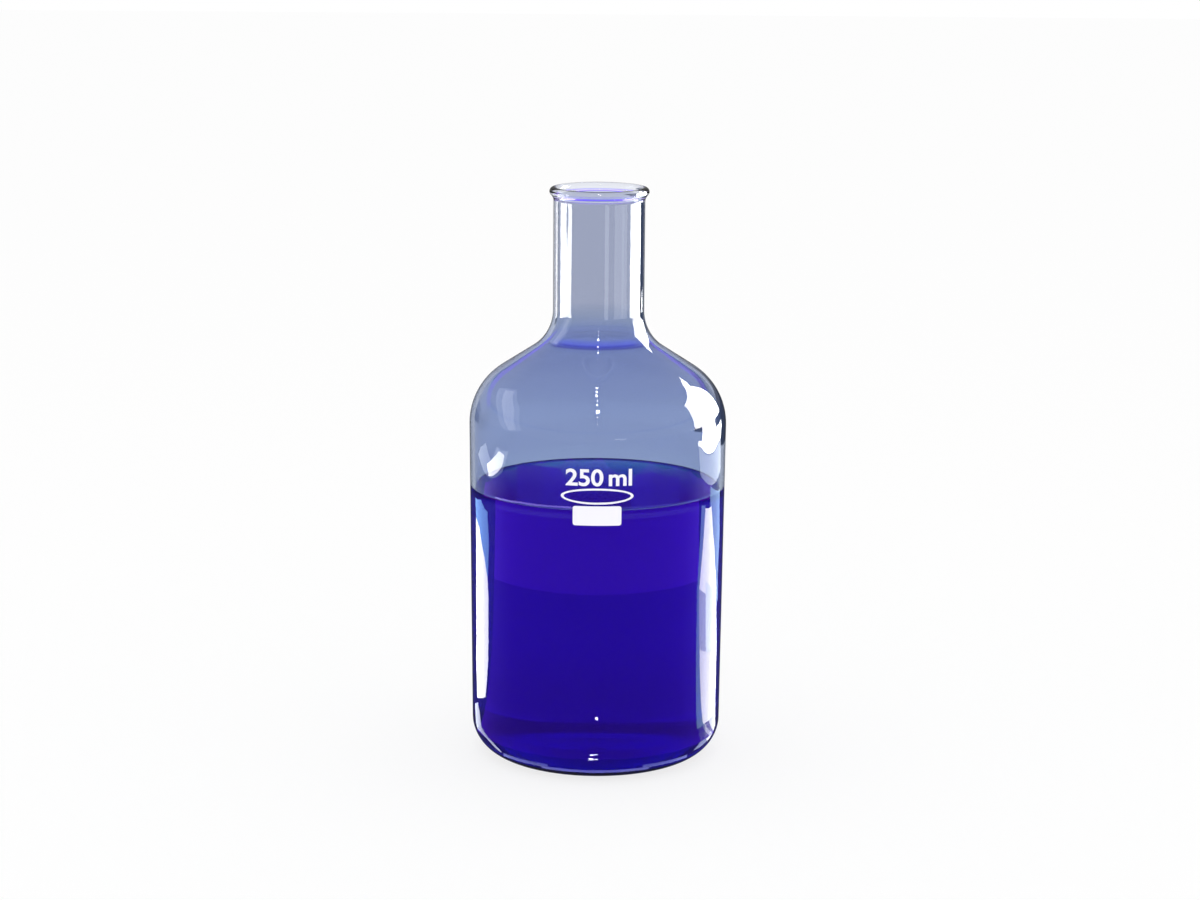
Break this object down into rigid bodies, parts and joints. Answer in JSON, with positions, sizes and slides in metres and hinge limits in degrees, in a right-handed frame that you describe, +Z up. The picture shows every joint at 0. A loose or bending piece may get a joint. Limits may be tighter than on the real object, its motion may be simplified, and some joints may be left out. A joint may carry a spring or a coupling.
{
  "type": "glass solution bottle",
  "caption": "Narrow necked laboratory bottle of clear glass with a rolled rim, part filled with a deep blue solution, with a blank writing panel and an oval ring in white enamel.",
  "frame": {"origin": "on the bottle's axis, at the plane of the flat ring that it stands on", "axes": "+Z up along the bottle's axis towards the mouth, -Y towards the front, which carries the enamel, +X to the right when seen from the front"},
  "size_m": [0.07, 0.07, 0.1569],
  "materials": {
    "clear_glass": "clear blown borosilicate glass with a fire polished rim",
    "blue_solution": "clear deep blue aqueous solution",
    "white_enamel": "fired white enamel print, faintly raised"
  },
  "bodies": {
    "root": {"bottle": "clear_glass", "solution": "blue_solution", "writing_panel": "white_enamel", "marking_oval": "white_enamel"}
  },
  "joints": []
}
